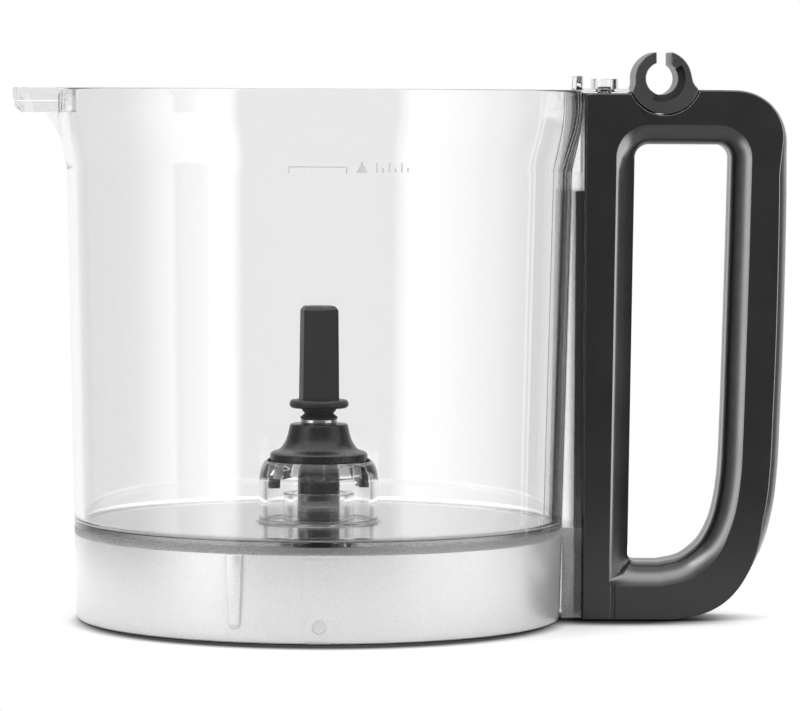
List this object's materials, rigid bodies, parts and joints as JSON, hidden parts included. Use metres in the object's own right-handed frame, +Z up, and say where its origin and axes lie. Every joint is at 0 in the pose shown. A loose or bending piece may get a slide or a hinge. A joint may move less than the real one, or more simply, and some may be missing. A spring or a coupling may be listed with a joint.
{
  "type": "food processor work bowl",
  "caption": "Clear cylindrical mixing bowl with a black D-shaped side handle, lid hinge clip, lid interlock rod and a twist-out hexagonal drive post on the floor.",
  "frame": {"origin": "middle of the whole assembly's footprint, on the surface the bowl stands on; the bowl's own axis is at x = -0.02935", "axes": "+X from the bowl towards its handle, +Z up the bowl's axis, -Y the side with the key rib"},
  "size_m": [0.2769, 0.1886, 0.2035],
  "materials": {
    "clear_plastic": "clear polished copolyester, frosted outside below the floor",
    "handle_plastic": "satin moulded",
    "drive_plastic": "fine grained moulded",
    "steel": "bright stainless",
    "bronze": "sintered",
    "rubber": "smooth seal"
  },
  "bodies": {
    "bowl": {"work_bowl": "clear_plastic", "base_skirt": "clear_plastic", "latch_tab": "clear_plastic", "pin_plate": "clear_plastic", "hub_collar": "clear_plastic", "hub_sleeve": "clear_plastic", "handle_front_shell": "handle_plastic", "handle_rear_shell": "handle_plastic", "handle_screw_1": "steel", "handle_screw_2": "steel", "handle_screw_3": "steel", "handle_screw_4": "steel", "hinge_clip": "handle_plastic", "rod_guide_plate": "drive_plastic", "interlock_spring": "steel"},
    "interlock": {"interlock_rod": "drive_plastic"},
    "drive_unit": {"bearing_housing": "drive_plastic", "upper_bush": "bronze", "lower_bush": "bronze", "housing_o_ring": "rubber"},
    "spindle": {"drive_shaft": "steel", "hex_drive": "drive_plastic", "drive_coupling": "drive_plastic", "coupling_pin": "steel", "thrust_washer": "steel", "retaining_clip": "steel", "seal_washer": "steel", "shaft_seal": "rubber"}
  },
  "joints": [
    {"name": "interlock_press", "type": "slide", "parent": "bowl", "child": "interlock", "axis": [0, 0, -1], "range_m": [0, 0.005], "stiffness_N_per_m": 300, "springref_m": -0.004, "deforming": ["interlock_spring"]},
    {"name": "bayonet_twist", "type": "hinge", "parent": "bowl", "child": "drive_unit", "pos_m": [-0.02935, 0, 0.056], "axis": [0, 0, 1], "range_deg": [-30, 0]},
    {"name": "spindle_spin", "type": "hinge", "parent": "drive_unit", "child": "spindle", "pos_m": [-0.02935, 0, 0.056], "axis": [0, 0, 1], "continuous": true}
  ]
}
